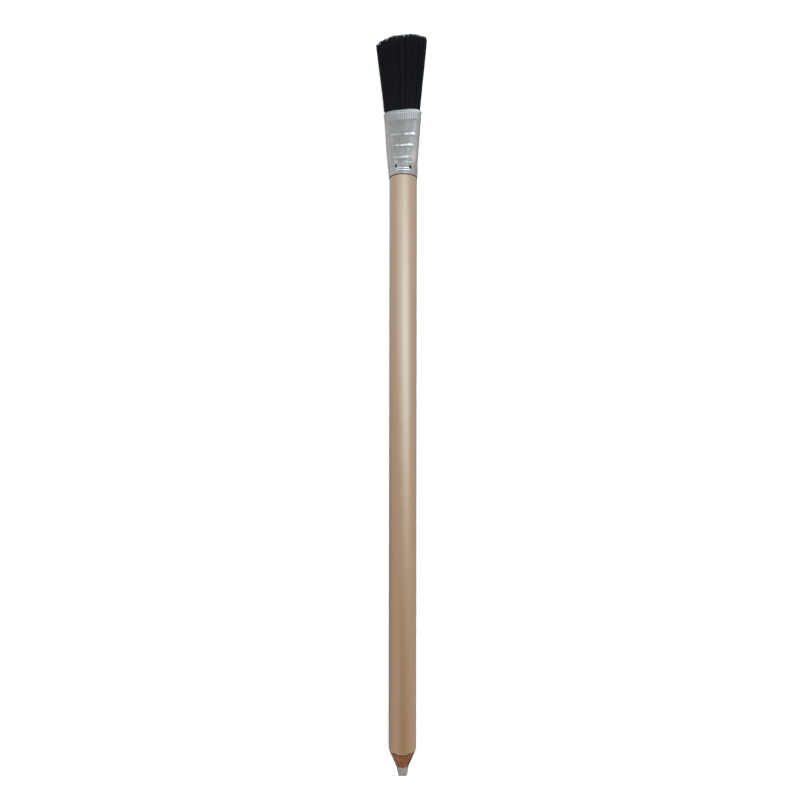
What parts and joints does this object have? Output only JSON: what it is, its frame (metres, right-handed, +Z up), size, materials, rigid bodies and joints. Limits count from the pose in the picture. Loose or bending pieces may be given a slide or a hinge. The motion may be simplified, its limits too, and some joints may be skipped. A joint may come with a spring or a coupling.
{
  "type": "eraser pencil with brush",
  "caption": "Round wood-cased pencil with an abrasive rubber core, sharpened at one end, and a flat fan brush in a crimped aluminium ferrule at the other, for rubbing out and sweeping crumbs.",
  "frame": {"origin": "middle of the pencil's length on the table that it lies on, under its axis", "axes": "+X along the pencil towards the brush, Y across the brush's width, +Z up, square to the brush's face"},
  "size_m": [0.2014, 0.0142, 0.0077],
  "materials": {
    "casing_wood": "sharpened bare wood",
    "eraser_rubber": "worn abrasive rubber",
    "pearl_lacquer": "pearl lacquer",
    "ferrule_metal": "drawn and crimped",
    "resin": "cast resin",
    "bristle_black": "cut nylon bristle"
  },
  "bodies": {
    "root": {"casing_half_left": "casing_wood", "casing_half_right": "casing_wood", "eraser_core": "eraser_rubber", "lacquer_coat": "pearl_lacquer", "ferrule": "ferrule_metal", "resin_plug": "resin", "bristle_tuft": "bristle_black"}
  },
  "joints": []
}
